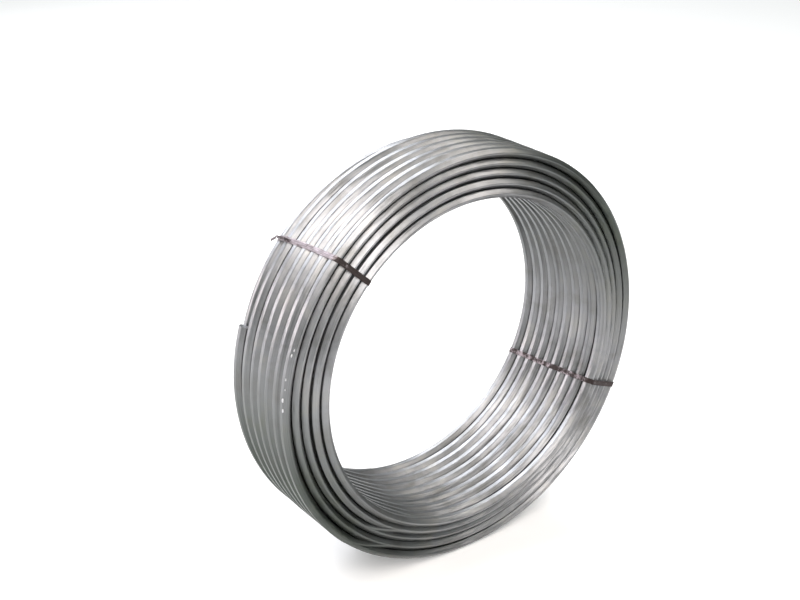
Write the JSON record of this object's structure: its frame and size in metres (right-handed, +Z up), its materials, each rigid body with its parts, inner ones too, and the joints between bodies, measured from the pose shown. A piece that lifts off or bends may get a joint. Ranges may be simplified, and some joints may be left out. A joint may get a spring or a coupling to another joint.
{
  "type": "zinc ribbon anode",
  "caption": "Coil of blunt diamond-section zinc ribbon wound in layers round an open bore, held by flat strap ties, for cathodic protection of buried or submerged steel.",
  "frame": {"origin": "on the floor under the middle of the coil", "axes": "+Z up, the coil's axis level along Y, front end towards -Y"},
  "size_m": [0.7676, 0.231, 0.7676],
  "materials": {
    "zinc_ribbon": "satin",
    "steel_strap": "matte"
  },
  "bodies": {
    "root": {"ribbon_coil": "zinc_ribbon", "strap_tie_upper": "steel_strap", "strap_tie_side": "steel_strap"}
  },
  "joints": []
}
